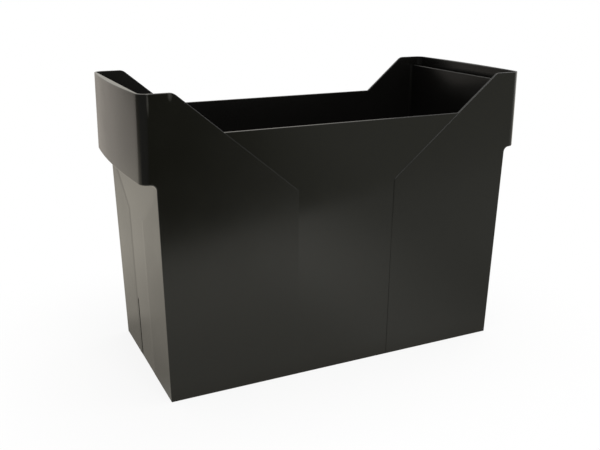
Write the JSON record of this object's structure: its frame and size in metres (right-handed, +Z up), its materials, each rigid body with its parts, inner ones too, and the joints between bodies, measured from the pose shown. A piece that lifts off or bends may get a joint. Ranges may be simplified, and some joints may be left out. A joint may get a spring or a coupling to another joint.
{
  "type": "hanging file box",
  "caption": "Open desk box for A4 suspension files, with tall ends that carry hanging rails and bowed grip bands, and low window-cut front and rear.",
  "frame": {"origin": "centre of the footprint, on the surface that the foot rim stands on", "axes": "+X along the box, from the left grip band to the right one; +Y from the front to the rear, the narrow way; +Z up"},
  "size_m": [0.3612, 0.162, 0.257],
  "materials": {
    "shell": "satin, fine moulded surface",
    "panel": "satin, a little smoother than the sleeves"
  },
  "bodies": {
    "root": {"floor_plate": "shell", "front_panel": "panel", "rear_panel": "panel", "left_end_panel": "panel", "right_end_panel": "panel", "left_shoulder": "shell", "right_shoulder": "shell", "left_hanging_rail": "shell", "right_hanging_rail": "shell", "left_grip_band": "shell", "right_grip_band": "shell", "corner_front_left": "shell", "corner_front_right": "shell", "corner_rear_left": "shell", "corner_rear_right": "shell"}
  },
  "joints": []
}
